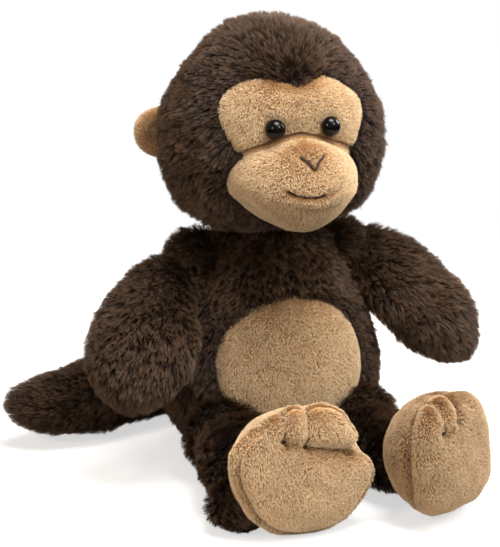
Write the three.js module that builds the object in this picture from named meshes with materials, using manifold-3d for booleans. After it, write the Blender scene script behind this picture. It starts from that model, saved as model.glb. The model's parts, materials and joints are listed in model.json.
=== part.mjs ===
// A seated stuffed monkey as an assembly of sewn skins, stuffing and trim.
// Millimetres, +Z up, the face looks along -Y, +X is the monkey's own left.
// The origin is the middle of the flat seat, on the floor.
import * as THREE from "three";
import { mergeVertices } from "three/addons/utils/BufferGeometryUtils.js";
import Module from "manifold-3d";

const wasm = await Module();
wasm.setup();

// ---- driving dimensions ----------------------------------------------------
const GAP = 0.4; // clearance between neighbouring pieces
const FUR_WALL = 5; // long-pile skin
const PILE_WALL = 3; // short-pile skin
const SEAM = 1.2; // extra room left round a limb's root ball

const NECK = [0, 0, 140]; // centre of the neck ball
const NECK_R = 26;
const SHOULDER = { right: [-46, -3, 121], left: [46, -3, 121] };
const SHOULDER_R = 17;
const HIP = { right: [-41, -46, 24], left: [41, -46, 24] };
const HIP_R = 22;
const TAIL_ROOT = [0, 50, 27];
const TAIL_R = 18;
const WAD_SHARE = 0.5; // a root wad's radius as a share of its ball's radius

// stations of a soft body: [x, y, z, half width, half depth]
const TORSO = [
  [0, -2, -9, 62, 54],
  [0, -3, 22, 69, 59],
  [0, -4, 50, 68, 59],
  [0, -3, 85, 60, 52],
  [0, 0, 118, 52, 44],
  [0, 1, 141, 46, 37],
  [0, 1, 152, 38, 32],
];
const HEAD = [
  [0, -4, 140, 55, 50],
  [0, -5, 162, 62, 56],
  [0, -6, 186, 66, 60],
  [0, -6, 208, 65, 60],
  [0, -5, 236, 60, 56],
  [0, -4, 264, 50, 47],
];
const MUZZLE = [
  [0, -50, 145, 20, 17],
  [0, -54, 156, 30, 26],
  [0, -56, 172, 39, 32],
  [0, -54, 189, 37, 31],
  [0, -50, 203, 28, 24],
];
const ARM = {
  right: [
    [-46, -3, 121, 13, 13],
    [-60, -10, 115, 16, 15],
    [-73, -21, 105, 22, 18],
    [-84, -33, 89, 28, 21],
    [-90, -43, 73, 30, 22],
    [-94, -50, 60, 26, 19],
    [-96, -54, 49, 18, 13],
  ],
  left: [
    [46, -3, 121, 13, 13],
    [60, -10, 115, 17, 15],
    [74, -19, 104, 23, 18],
    [88, -28, 91, 27, 21],
    [99, -37, 78, 27, 21],
    [107, -43, 67, 23, 18],
    [112, -47, 59, 16, 13],
  ],
};
const LEG = {
  right: [
    [-41, -46, 24, 19, 19],
    [-40, -66, 24, 22, 20],
    [-38, -86, 25, 26, 24],
    [-36, -110, 26, 27, 25],
    [-34, -132, 28, 25, 24],
  ],
  left: [
    [41, -46, 24, 19, 19],
    [41, -66, 23, 22, 19],
    [43, -87, 22, 25, 20],
    [46, -110, 23, 26, 21],
    [49, -132, 26, 24, 22],
  ],
};
const FOOT = {
  right: [
    [-31, -122, 32, 30, 28],
    [-30, -135, 35, 39, 33],
    [-29, -148, 36, 42.5, 35.5],
    [-28, -158, 37, 39, 33.5],
  ],
  left: [
    [47, -125, 31, 28, 27],
    [52, -138, 34.5, 37, 33.5],
    [59, -149, 36, 39, 35.5],
    [66, -158, 37, 36, 33.5],
  ],
};
const SOLE_DEPTH = { right: 7, left: 13 };
const TOE_STITCH = [0.8, 0.9, 0.955, 0.988]; // along the foot, from the rim to the knot
const TOES = { right: { outer: -14.5, inner: -2 }, left: { inner: -19, outer: -6 } };
const TAIL = [
  [0, 50, 27, 16, 16],
  [-16, 67, 25, 20, 20],
  [-44, 74, 24, 23, 22],
  [-76, 63, 24, 24, 23],
  [-104, 50, 24, 23, 23],
  [-130, 44, 25, 22, 21],
  [-152, 46, 28, 17, 16],
];
const ARM_FACE = { right: [-0.45, -0.75, 0.45], left: [0.2, -0.8, 0.55] };
const BEAN_BAG = [[0, 8, 7, 26, 17], [0, 8, 15, 30, 20], [0, 8, 23, 26, 17]];
const EAR = [[46, 207], [61, 207.5], [69.5, 204], [73.5, 195], [71, 186], [63, 180], [46, 181]];
const EAR_Y = 28;
const BELLY = { centre: [0, 64], half: [45, 41] };
const BROW_SET_BACK = 2; // the short-pile mask lies a little below the fur
const EYE = { x: 16.4, z: 208, face: -62.4, reach: 9, turn: 14 };

// ---- shapes ----------------------------------------------------------------
const vec = (p) => new THREE.Vector3(...p);

/** A closed three.js geometry as a manifold solid with its faces outward. */
function solid(geometry) {
  let g = geometry.clone();
  g.deleteAttribute("normal");
  g.deleteAttribute("uv");
  g = mergeVertices(g, 1e-4);
  const made = new wasm.Manifold(new wasm.Mesh({
    numProp: 3,
    vertProperties: new Float32Array(g.attributes.position.array),
    triVerts: new Uint32Array(g.index.array),
  }));
  if (made.volume() > 0) return made;
  g.setIndex([...g.index.array].reverse());
  return solid(g);
}

/** A manifold solid as a three.js geometry. */
function geometryOf(manifold) {
  const m = manifold.getMesh();
  const xyz = new Float32Array(m.numVert * 3);
  for (let i = 0; i < m.numVert; i++) {
    for (let k = 0; k < 3; k++) xyz[3 * i + k] = m.vertProperties[m.numProp * i + k];
  }
  const g = new THREE.BufferGeometry();
  g.setAttribute("position", new THREE.BufferAttribute(xyz, 3));
  g.setIndex([...m.triVerts]);
  return g;
}

/** The spine through a list of stations: a point, a direction and two half sizes at t in 0..1. */
function spine(stations) {
  const points = stations.map((s) => vec(s.slice(0, 3)));
  const path = new THREE.CatmullRomCurve3(points, false, "centripetal");
  const reach = [0];
  for (let i = 1; i < points.length; i++) {
    reach.push(reach[i - 1] + points[i].distanceTo(points[i - 1]));
  }
  const length = reach.at(-1);
  const at = (t) => {
    const want = Math.min(Math.max(t, 0), 1) * length;
    const i = Math.max(1, reach.findIndex((r) => r >= want - 1e-9));
    const f = (want - reach[i - 1]) / (reach[i] - reach[i - 1]);
    const size = [3, 4].map((k) => stations[i - 1][k] * (1 - f) + stations[i][k] * f);
    return { point: path.getPointAt(want / length), tangent: path.getTangentAt(want / length), size };
  };
  return { at, length };
}

/** Where a soft body's skin is: s runs along the spine, turn goes round it. */
function skinPoint(shape, options, s, turn) {
  const { power = 2.3, inset = 0, up = [0, -1, 0] } = options;
  const trim = Math.max(inset, 0) / shape.length;
  const { point, tangent, size } = shape.at(trim + s * (1 - 2 * trim));
  const open = 1 - Math.pow(Math.abs(2 * s - 1), power);
  const closing = open < 1e-9 ? 0 : Math.pow(open, 1 / power);
  const side = vec(up).cross(tangent).normalize();
  const deep = tangent.clone().cross(side).normalize();
  // a negative inset grows the form past the ends of its spine
  if (inset < 0) point.addScaledVector(tangent, -inset * (2 * s - 1));
  return point
    .addScaledVector(side, (size[0] - inset) * closing * Math.cos(turn))
    .addScaledVector(deep, (size[1] - inset) * closing * Math.sin(turn));
}

/** A stuffed form round a spine: oval rings that close to a point at both ends. */
function softBody(stations, options = {}) {
  const { around = 28, rings = 16 } = options;
  const shape = spine(stations);
  const g = new THREE.SphereGeometry(1, around, rings);
  const p = g.attributes.position;
  for (let i = 0; i < p.count; i++) {
    const v = new THREE.Vector3().fromBufferAttribute(p, i);
    const pole = Math.hypot(v.x, v.z) < 1e-6;
    const s = pole ? Number(v.y < 0) : (1 - v.y) / 2;
    p.setXYZ(i, ...skinPoint(shape, options, s, Math.atan2(v.z, v.x)).toArray());
  }
  return solid(g);
}

function ball(centre, radius, around = 12) {
  const g = new THREE.SphereGeometry(radius, around, Math.round(around * 0.6));
  return solid(g.translate(...centre));
}

/** A round bar from one point to another. */
function rod(from, to, radius, sides = 12) {
  const a = vec(from);
  const b = vec(to);
  const g = new THREE.CylinderGeometry(radius, radius, a.distanceTo(b), sides);
  const turn = new THREE.Quaternion();
  turn.setFromUnitVectors(new THREE.Vector3(0, 1, 0), b.clone().sub(a).normalize());
  g.applyQuaternion(turn);
  return solid(g.translate(...a.add(b).multiplyScalar(0.5).toArray()));
}

function block(low, high) {
  const size = high.map((h, i) => h - low[i]);
  const g = new THREE.BoxGeometry(...size);
  return solid(g.translate(...low.map((l, i) => l + size[i] / 2)));
}

/** A prism along Y with a smooth closed outline given in X and Z. */
function prism(outline, front, back, steps = 32) {
  const ring = outline.map(([x, z]) => new THREE.Vector3(x, z, 0));
  const curve = new THREE.CatmullRomCurve3(ring, true, "centripetal");
  const points = curve.getSpacedPoints(steps).slice(0, -1);
  const shape = new THREE.Shape(points.map((q) => new THREE.Vector2(q.x, q.y)));
  const g = new THREE.ExtrudeGeometry(shape, { depth: back - front, bevelEnabled: false });
  return solid(g.rotateX(Math.PI / 2).translate(0, back, 0));
}

/** An outline given for x >= 0, completed by its mirror image. */
function mirrored(outline) {
  const other = outline.filter(([x]) => x > 0.01).map(([x, z]) => [-x, z]);
  return [...outline, ...other.reverse()];
}

/** An outline moved outward from its centre by a distance. */
function grown(outline, by, [cx, cz]) {
  return outline.map(([x, z]) => {
    const k = 1 + by / Math.hypot(x - cx, z - cz);
    return [cx + (x - cx) * k, cz + (z - cz) * k];
  });
}

function oval([cx, cz], [hx, hz], steps = 16) {
  return Array.from({ length: steps }, (_, i) => {
    const a = (i / steps) * 2 * Math.PI;
    return [cx + hx * Math.cos(a), cz + hz * Math.sin(a)];
  });
}

/** A stitched thread that follows points, closed at both ends. */
function thread(points, radius, steps = 8, sides = 4) {
  const curve = new THREE.CatmullRomCurve3(points.map(vec));
  const tube = new THREE.TubeGeometry(curve, steps, radius, sides, false);
  const xyz = [...tube.attributes.position.array];
  const index = [...tube.index.array];
  for (const [ring, end] of [[0, 0], [steps, 1]]) {
    const centre = xyz.length / 3;
    xyz.push(...curve.getPointAt(end).toArray());
    for (let k = 0; k < sides; k++) {
      const a = ring * (sides + 1) + k;
      index.push(centre, ...(end ? [a + 1, a] : [a, a + 1]));
    }
  }
  const g = new THREE.BufferGeometry();
  g.setAttribute("position", new THREE.BufferAttribute(new Float32Array(xyz), 3));
  g.setIndex(index);
  return solid(g);
}

// ---- materials and the assembly --------------------------------------------
const monkey = new THREE.Group();
monkey.name = "stuffed_monkey";
const paint = (color, roughness) =>
  new THREE.MeshStandardMaterial({ color, roughness, metalness: 0 });
const FUR = paint(0x48382c, 0.95);
const TAN = paint(0xc8a57b, 0.9);
const FILL = paint(0xf2efe8, 1);
const BEANS = paint(0xe8e2d2, 0.7);
const THREAD = paint(0x3a2218, 0.8);
const BEAD = paint(0x0a0808, 0.12);
const NYLON = paint(0xf0f0ee, 0.5);

/** Adds one piece; specks that a cut leaves loose are dropped. */
function add(name, manifold, material) {
  const bodies = manifold.decompose().sort((a, b) => b.volume() - a.volume());
  const mesh = new THREE.Mesh(geometryOf(bodies[0]), material);
  mesh.name = name;
  monkey.add(mesh);
}

// ---- head ------------------------------------------------------------------
const HEAD_MESH = { around: 26, rings: 16, power: 2.2 };
const headForm = (inset) => softBody(HEAD, { ...HEAD_MESH, inset });
const headInside = (inset) => softBody(HEAD, { around: 16, rings: 10, power: 2.2, inset });
const MUZZLE_FORM = { around: 18, rings: 10, power: 2.1 };
const muzzleForm = (inset) => softBody(MUZZLE, { ...MUZZLE_FORM, inset });
const MASK = mirrored([
  [0, 230], [8, 232.5], [19, 235.5], [32, 233], [41, 226], [45, 216],
  [43, 205], [39, 197], [36, 189], [24, 184], [0, 182],
]);
const MUZZLE_EDGE = mirrored([
  [0, 203.5], [8, 202], [16, 199], [27, 194], [36, 187], [39, 177], [35, 167],
  [24, 156.5], [12, 149], [0, 145.5],
]);
const FACE = [-120, -20]; // front and back of the prisms that cut the face
const maskAt = (by) => prism(grown(MASK, by, [0, 210]), FACE[0] + by, FACE[1] - by);
const muzzleAt = (by) => prism(grown(MUZZLE_EDGE, by, [0, 176]), FACE[0] + by, FACE[1] - by);
const neckSocket = ball(NECK, NECK_R + SEAM, 16);
/** A bar along an eye's own axis, between two depths measured inward from its seat. */
function eyeRod(way, radius, from, to, sides = 16) {
  const turn = THREE.MathUtils.degToRad(EYE.turn * way);
  const at = (depth) => [way * EYE.x - depth * Math.sin(turn), EYE.face + depth * Math.cos(turn), EYE.z];
  return rod(at(from), at(to), radius, sides);
}
const SIDES = [["right", -1], ["left", 1]];

add("head_fur_shell", headForm(0).subtract(headInside(FUR_WALL)).subtract(neckSocket)
  .subtract(maskAt(0)).subtract(muzzleAt(0)), FUR);

let brow = headForm(BROW_SET_BACK).subtract(headInside(BROW_SET_BACK + PILE_WALL))
  .intersect(maskAt(-GAP)).subtract(muzzleAt(GAP));
for (const [, way] of SIDES) brow = brow.subtract(eyeRod(way, 2.1, -12, 12));
add("brow_mask_panel", brow, TAN);
add("muzzle_panel", muzzleForm(0).subtract(muzzleForm(PILE_WALL)).intersect(muzzleAt(-GAP))
  .subtract(headInside(FUR_WALL)), TAN);
add("muzzle_stuffing", muzzleForm(PILE_WALL + 1).intersect(muzzleAt(-5))
  .subtract(headInside(FUR_WALL)), FILL);

let headFill = headInside(FUR_WALL + 1).subtract(neckSocket);
for (const [, way] of SIDES) headFill = headFill.subtract(eyeRod(way, 7.4, -10, 18));
add("head_stuffing", headFill, FILL);

// a domed bead with its shank, and the washer pressed on it from inside
const BEAD_PROFILE = [[0, -5.6], [2.6, -5.2], [4.6, -3.9], [5.9, -2], [6.1, -0.8], [5.4, -0.3],
  [1.7, -0.3], [1.7, 13], [0, 13]].map(([r, y]) => new THREE.Vector2(r, y));
for (const [side, way] of SIDES) {
  const bead = new THREE.LatheGeometry(BEAD_PROFILE, 16);
  bead.rotateZ(THREE.MathUtils.degToRad(EYE.turn * way)).translate(way * EYE.x, EYE.face, EYE.z);
  add(`eye_${side}`, solid(bead), BEAD);
  const washer = eyeRod(way, 6.4, EYE.reach, EYE.reach + 1.6, 20);
  add(`eye_washer_${side}`, washer.subtract(eyeRod(way, 2, 0, 20)), NYLON);
}

for (const [side, way] of SIDES) {
  const tip = EAR.map(([x, z]) => [way * x, z]);
  const panel = (front, back) => prism(tip, EAR_Y + front, EAR_Y + back, 24).subtract(headForm(-GAP));
  add(`ear_front_panel_${side}`, panel(-3.6, -GAP / 2), TAN);
  add(`ear_back_panel_${side}`, panel(GAP / 2, 3.6), TAN);
}

/** A point just off the muzzle's skin, from how far across and how high it is. */
function onMuzzle(x, z) {
  const shape = spine(MUZZLE);
  const s = (z - MUZZLE[0][2]) / (MUZZLE.at(-1)[2] - MUZZLE[0][2]);
  const wide = skinPoint(shape, MUZZLE_FORM, s, 0).x;
  return skinPoint(shape, { ...MUZZLE_FORM, inset: -1.1 }, s, Math.acos(x / wide)).toArray();
}
const NOSE = [[-7, 188.6], [-3.2, 185.8], [0, 182.8], [3.2, 185.8], [7, 188.6]];
const SMILE = [[-12.5, 176], [-8.5, 174], [-4, 172.8], [0.5, 172.5], [5, 172.9]];
add("nose_stitch", thread(NOSE.map(([x, z]) => onMuzzle(x, z)), 0.7), THREAD);
add("mouth_stitch", thread(SMILE.map(([x, z]) => onMuzzle(x, z)), 0.6), THREAD);

// ---- torso -----------------------------------------------------------------
const torsoForm = (inset, rings = 12, around = 24) =>
  softBody(TORSO, { around, rings, power: 2.4, inset });
const neckBall = (radius) => ball(NECK, radius, 16);
const seatCut = (height) => block([-120, -120, -60], [120, 120, height]);
const roots = [
  ...Object.values(SHOULDER).map((c) => [c, SHOULDER_R]),
  ...Object.values(ARM).map((a) => [a[1].slice(0, 3), SHOULDER_R + 1]),
  ...Object.values(HIP).map((c) => [c, HIP_R]),
  [TAIL_ROOT, TAIL_R],
];
const withoutRoots = (form) => {
  let cut = form;
  for (const [centre, radius] of roots) cut = cut.subtract(ball(centre, radius + SEAM));
  return cut;
};
const bellyAt = (by) => prism(oval(BELLY.centre, BELLY.half.map((h) => h + by)), -120, -20);
const torsoInner = torsoForm(FUR_WALL, 9, 16).add(neckBall(NECK_R - FUR_WALL));
const neckMouth = rod(NECK, [NECK[0], NECK[1], NECK[2] + 40], 12);

let torsoSkin = torsoForm(0).add(neckBall(NECK_R)).subtract(seatCut(0));
torsoSkin = torsoSkin.subtract(torsoInner.subtract(seatCut(FUR_WALL))).subtract(neckMouth);
add("torso_fur_shell", withoutRoots(torsoSkin).subtract(bellyAt(0)), FUR);
add("belly_panel", withoutRoots(torsoForm(1).subtract(torsoForm(1 + PILE_WALL, 9, 16))
  .intersect(bellyAt(-GAP))), TAN);
const beanBag = softBody(BEAN_BAG, { around: 16, rings: 8, power: 2.6 });
const wadRoom = (centre, radius) => ball(centre, radius * WAD_SHARE + 1, 12);
add("torso_stuffing", withoutRoots(torsoForm(FUR_WALL + 1, 9, 16).add(neckBall(NECK_R - FUR_WALL - 1))
  .subtract(seatCut(FUR_WALL + GAP)).subtract(wadRoom(NECK, NECK_R)).subtract(neckMouth)
  .subtract(softBody(BEAN_BAG.map(([x, y, z, a, b]) => [x, y, z, a + 1, b + 1]),
    { around: 16, rings: 8, power: 2.6 })).subtract(rod([0, 0, 2], [0, 0, 30], 8))), FILL);
add("seat_bean_bag", beanBag, BEANS);
add("neck_wad", ball(NECK, NECK_R * WAD_SHARE, 12), FILL);

// ---- limbs and tail --------------------------------------------------------
/** The mouth in a limb's root through which the stuffing was pushed in. */
function mouth(centre, toward, radius) {
  const way = vec(toward).sub(vec(centre)).normalize();
  return rod(centre, vec(centre).addScaledVector(way, 50).toArray(), radius, 12);
}

/** A limb's skin and stuffing: a soft form whose root is a ball round its pivot. */
function limb(stations, options, radius, toward) {
  const centre = stations[0].slice(0, 3);
  const open = mouth(centre, toward, radius * 0.45);
  const form = (inset, sides = 1) => softBody(stations, {
    ...options,
    inset,
    around: Math.round(options.around * sides),
    rings: Math.round(options.rings * sides),
  }).add(ball(centre, radius - inset, 12));
  return {
    form,
    skin: form(0).subtract(form(FUR_WALL, 0.75)).subtract(open),
    fill: form(FUR_WALL + 1, 0.75).subtract(wadRoom(centre, radius)).subtract(open),
    wad: ball(centre, radius * WAD_SHARE, 12),
  };
}

for (const side of ["right", "left"]) {
  const options = { around: 16, rings: 9, power: 2.5, up: ARM_FACE[side] };
  const arm = limb(ARM[side], options, SHOULDER_R, [0, 0, SHOULDER[side][2]]);
  add(`arm_fur_shell_${side}`, arm.skin, FUR);
  add(`arm_stuffing_${side}`, arm.fill, FILL);
  add(`shoulder_wad_${side}`, arm.wad, FILL);
}

for (const side of ["right", "left"]) {
  const leg = limb(LEG[side], { around: 16, rings: 8, power: 4, up: [0, 0, 1] }, HIP_R,
    [0, 10, HIP[side][2]]);
  const footOptions = { around: 18, rings: 9, power: 3.8, up: [0, 0, 1] };
  const foot = (inset) => softBody(FOOT[side], { ...footOptions, inset });
  const [heel, front] = [FOOT[side][0], FOOT[side].at(-1)].map((r) => vec(r.slice(0, 3)));
  const way = front.clone().sub(heel).normalize();
  // a big block whose face is the plane where the sole meets the upper
  const facing = (back) => {
    const g = new THREE.BoxGeometry(160, 160, 80);
    const turn = new THREE.Quaternion().setFromUnitVectors(new THREE.Vector3(0, 0, 1), way);
    const middle = front.clone().addScaledVector(way, 40 - back);
    return solid(g.applyQuaternion(turn).translate(...middle.toArray()));
  };
  add(`leg_fur_shell_${side}`, leg.skin.subtract(foot(-GAP)), FUR);
  const shell = foot(0).subtract(foot(PILE_WALL));
  add(`foot_upper_${side}`, shell.subtract(facing(SOLE_DEPTH[side] + GAP)).subtract(leg.form(FUR_WALL, 0.75)), TAN);
  add(`foot_sole_${side}`, shell.intersect(facing(SOLE_DEPTH[side])), TAN);
  add(`leg_stuffing_${side}`, leg.fill.subtract(foot(0)).add(
    leg.form(FUR_WALL + 1, 0.75).intersect(foot(-1)).subtract(leg.wad)).add(foot(PILE_WALL + 1)), FILL);
  add(`hip_wad_${side}`, leg.wad, FILL);
  const shape = spine(FOOT[side]);
  for (const [toe, x] of Object.entries(TOES[side])) {
    const line = TOE_STITCH.map((s) => {
      const wide = skinPoint(shape, footOptions, s, 0).distanceTo(skinPoint(shape, footOptions, s, Math.PI)) / 2;
      return skinPoint(shape, { ...footOptions, inset: -1 }, s, Math.acos(x / wide)).toArray();
    });
    add(`toe_stitch_${toe}_${side}`, thread(line, 0.6, 6).add(ball(line.at(-1), 0.95, 6)), THREAD);
  }
}

const tail = limb(TAIL, { around: 14, rings: 12, power: 2.8, up: [0, 0, 1] }, TAIL_R, [0, 0, 27]);
add("tail_fur_shell", tail.skin, FUR);
add("tail_stuffing", tail.fill, FILL);
add("tail_root_wad", tail.wad, FILL);

export default monkey;
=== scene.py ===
"""A seated stuffed monkey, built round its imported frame: sewn skins, pile, face, feet and trim.

The frame gives the bodies that everything rides on. The soft forms repeat the frame's own
stations, or follow them within a few millimetres, so each skin lies in its solid's space.
Lengths are in millimetres, and mesh_object, move_points and grow_pile turn them into metres.
The camera, the lights and the floor are given in metres.
"""
import json
import math

import bmesh
import bpy
import numpy as np
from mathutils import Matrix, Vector
from mathutils.bvhtree import BVHTree
from mathutils.kdtree import KDTree

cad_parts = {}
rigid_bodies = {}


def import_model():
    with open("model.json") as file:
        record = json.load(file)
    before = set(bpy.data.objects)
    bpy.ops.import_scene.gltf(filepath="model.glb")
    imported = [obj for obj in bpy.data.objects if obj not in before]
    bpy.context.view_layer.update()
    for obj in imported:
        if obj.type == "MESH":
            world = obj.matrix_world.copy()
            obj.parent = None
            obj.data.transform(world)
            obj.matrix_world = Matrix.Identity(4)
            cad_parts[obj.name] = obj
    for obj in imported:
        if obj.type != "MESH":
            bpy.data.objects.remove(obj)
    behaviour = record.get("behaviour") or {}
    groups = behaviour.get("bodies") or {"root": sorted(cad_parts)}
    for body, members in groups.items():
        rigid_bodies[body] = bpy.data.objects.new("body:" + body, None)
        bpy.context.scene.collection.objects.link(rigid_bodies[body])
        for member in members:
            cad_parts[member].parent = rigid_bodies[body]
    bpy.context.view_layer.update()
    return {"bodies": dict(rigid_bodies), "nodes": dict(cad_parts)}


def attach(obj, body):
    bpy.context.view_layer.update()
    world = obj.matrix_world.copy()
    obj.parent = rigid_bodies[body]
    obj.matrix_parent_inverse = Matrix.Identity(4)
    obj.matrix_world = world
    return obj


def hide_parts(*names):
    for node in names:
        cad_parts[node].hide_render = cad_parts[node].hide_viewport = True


MM = 0.001
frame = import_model()
SIDES = ("right", "left")
WAY = {"right": -1, "left": 1}

# ---- the frame's forms: stations are x, y, z, half width, half depth ------------------
TORSO = [
    (0, -2, -9, 62, 54), (0, -3, 22, 69, 59), (0, -4, 50, 68, 59), (0, -3, 85, 60, 52),
    (0, 0, 118, 52, 44), (0, 1, 141, 46, 37), (0, 1, 152, 38, 32),
]
HEAD = [
    (0, -4, 140, 55, 50), (0, -5, 162, 62, 56), (0, -6, 186, 66, 60), (0, -6, 208, 65, 60),
    (0, -5, 236, 60, 56), (0, -4, 264, 50, 47),
]
MUZZLE = [
    (0, -50, 145, 20, 17), (0, -54, 156, 30, 26), (0, -56, 172, 39, 32), (0, -54, 189, 37, 31),
    (0, -50, 203, 28, 24),
]
ARM = {
    "right": [
        (-45, -3, 122, 14, 14), (-60, -10, 115, 18, 16), (-74, -21, 105, 24, 19),
        (-85, -33, 89, 31, 21), (-92, -43, 73, 34, 22), (-96, -50, 60, 31, 20),
        (-98, -54, 48, 22, 14),
    ],
    "left": [
        (44, -4, 125, 18, 16), (58, -10, 120, 23, 18), (74, -19, 107, 26, 20),
        (88, -28, 91, 27, 21), (99, -37, 78, 27, 21), (107, -43, 67, 23, 18),
        (112, -47, 59, 16, 13),
    ],
}
LEG = {
    "right": [
        (-41, -46, 24, 19, 19), (-41, -66, 24, 23, 20), (-41, -86, 25, 29, 24),
        (-41, -110, 25, 33, 25), (-40, -134, 26, 32, 24),
    ],
    "left": [
        (41, -46, 24, 19, 19), (41, -66, 23, 22, 19), (43, -87, 22, 25, 20),
        (46, -110, 23, 26, 21), (49, -132, 26, 24, 22),
    ],
}
FOOT = {
    "right": [
        (-31, -122, 32, 30, 28), (-30, -135, 35, 39, 33), (-29, -148, 36, 42.5, 35.5),
        (-28, -158, 37, 39, 33.5),
    ],
    "left": [
        (47, -125, 32, 28, 27), (52, -138, 35.5, 37, 33), (59, -149, 37, 38.5, 34.5),
        (66, -158, 38, 35, 33),
    ],
}
TAIL = [
    (0, 50, 27, 16, 16), (-16, 67, 25, 20, 20), (-44, 74, 24, 23, 22), (-76, 63, 24, 24, 23),
    (-104, 50, 24, 23, 23), (-130, 44, 25, 22, 21), (-152, 46, 28, 17, 16),
]
NECK, NECK_R = (0, 0, 140), 26
SHOULDER, SHOULDER_R, HIP_R, TAIL_R = (46, -3, 121), 17, 22, 18
ARM_FACE = {"right": (-0.45, -0.75, 0.45), "left": (0.2, -0.8, 0.55)}
FORWARD, UPWARD = (0, -1, 0), (0, 0, 1)
MASK_HALF = [
    (0, 230.5), (8, 232.5), (19, 235), (31, 232), (38.5, 226), (42.5, 217), (41.5, 207), (38, 199),
    (34.5, 192), (24, 184), (0, 182),
]
MUZZLE_HALF = [
    (0, 204.5), (8, 203), (17, 200), (27, 196.5), (35.5, 190.5), (39, 180), (33.5, 168.5),
    (22.5, 159), (11.5, 151.5), (0, 147.5),
]
EAR = [(46, 207), (61, 207.5), (69.5, 204), (73.5, 195), (71, 186), (63, 180), (46, 181)]
EAR_Y, EAR_CENTRE = 28, (59, 194)
BELLY, BELLY_HALF = (0, 64), (45, 41)
EYE_X, EYE_Z, EYE_Y, EYE_TURN = 16.4, 208, -62.4, math.radians(14)
NOSE = [(-7, 188.6), (-3.2, 185.8), (0, 182.8), (3.2, 185.8), (7, 188.6)]
SMILE = [(-15, 174.9), (-11, 173.4), (-6, 172.6), (-1, 172.6), (4.5, 173.3)]

# how far the woven ground of each fabric lies below the frame's outer face
FUR_GROUND, PILE_GROUND = 4.5, 1.6
PANEL_BACK = 3.0  # how far a sewn panel reaches down behind its base
PANEL_SINK = 2.4  # how far the fur's ground dips under a sewn panel
FAR_OUT = 50.0  # stands for well outside a panel, for points that don't face it


# ---- camera, floor and light ----------------------------------------------------------
def make_camera():
    azimuth, elevation, away = math.radians(-19), math.radians(14), 1.2
    target = Vector((0, -20, 118)) * MM
    back = Vector((
        math.sin(azimuth) * math.cos(elevation),
        -math.cos(azimuth) * math.cos(elevation),
        math.sin(elevation),
    ))
    across = Vector((math.cos(azimuth), math.sin(azimuth), 0))
    over = back.cross(across)
    camera = bpy.data.objects.new("camera", bpy.data.cameras.new("camera"))
    camera.data.sensor_fit = "HORIZONTAL"
    camera.data.sensor_width = 36
    camera.data.lens = 145.4
    # the toy stands a little right of the middle of the frame and a little high
    right_of_middle, above_middle = 0.01386, 0.00396
    aim = -back - across * right_of_middle - over * above_middle
    camera.location = target + back * away
    camera.rotation_mode = "QUATERNION"
    camera.rotation_quaternion = aim.to_track_quat("-Z", "Y")
    camera.data.clip_start, camera.data.clip_end = 0.05, 50
    bpy.context.scene.collection.objects.link(camera)
    bpy.context.scene.camera = camera


def area_light(name, place, size, power, tint=(1, 1, 1)):
    light = bpy.data.lights.new(name, "AREA")
    light.size, light.energy, light.color = size, power, tint
    lamp = bpy.data.objects.new(name, light)
    lamp.location = place
    aim = Vector((0, -0.04, 0.12)) - lamp.location
    lamp.rotation_mode = "QUATERNION"
    lamp.rotation_quaternion = aim.to_track_quat("-Z", "Y")
    bpy.context.scene.collection.objects.link(lamp)


WARM, WHITE = (1, 0.87, 0.72), (1, 1, 1, 1)


def make_studio():
    area_light("key", (0.75, -1.2, 1.2), 0.7, 17)
    area_light("fill", (-1.3, -0.9, 0.9), 0.4, 10, WARM)
    area_light("top", (0.2, -0.3, 1.6), 0.9, 38)
    area_light("rim", (1.35, 0.25, 0.8), 0.7, 15)
    world = bpy.data.worlds.new("studio")
    bpy.context.scene.world = world
    world.use_nodes = True
    nodes, links = world.node_tree.nodes, world.node_tree.links
    nodes.clear()
    path = nodes.new("ShaderNodeLightPath")
    seen, lit = nodes.new("ShaderNodeBackground"), nodes.new("ShaderNodeBackground")
    for background, strength, color in ((seen, 1.0, WHITE), (lit, 0.34, WARM + (1,))):
        background.inputs["Strength"].default_value = strength
        background.inputs["Color"].default_value = color
    either, out = nodes.new("ShaderNodeMixShader"), nodes.new("ShaderNodeOutputWorld")
    links.new(path.outputs["Is Camera Ray"], either.inputs[0])
    links.new(lit.outputs[0], either.inputs[1])
    links.new(seen.outputs[0], either.inputs[2])
    links.new(either.outputs[0], out.inputs[0])
    bpy.context.scene.view_settings.view_transform = "Standard"
    reach = 6.0
    corners = np.array([(-1, -1, 0), (1, -1, 0), (1, 1, 0), (-1, 1, 0)]) * reach
    floor = mesh_object("floor", corners, [(0, 1, 2, 3)], scale=1.0)
    floor.data.materials.append(floor_material())


# ---- small numeric helpers ------------------------------------------------------------
def unit(v):
    return v / np.maximum(np.linalg.norm(v, axis=-1, keepdims=True), 1e-12)


def smooth(low, high, x):
    t = np.clip((np.asarray(x, float) - low) / (high - low), 0, 1)
    return t * t * (3 - 2 * t)


def circle(count):
    return np.linspace(0, 2 * math.pi, count, endpoint=False)


def bell(distance, width):
    return np.exp(-((distance / width) ** 2))


LATTICE = 32
TABLES = [np.random.default_rng(70 + k).uniform(-1, 1, (LATTICE,) * 3) for k in range(6)]


def noise(points, scale, which=0):
    """Smooth value noise from -1 to 1 at points in millimetres, with features of size scale."""
    q = np.asarray(points) / scale + 500.5
    cell = np.floor(q).astype(int)
    f = q - cell
    f = f * f * (3 - 2 * f)
    total = np.zeros(len(q))
    for corner in range(8):
        step = np.array([(corner >> k) & 1 for k in range(3)])
        share = np.prod(np.where(step, f, 1 - f), axis=1)
        i, j, k = ((cell + step) % LATTICE).T
        total += share * TABLES[which][i, j, k]
    return total


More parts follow.
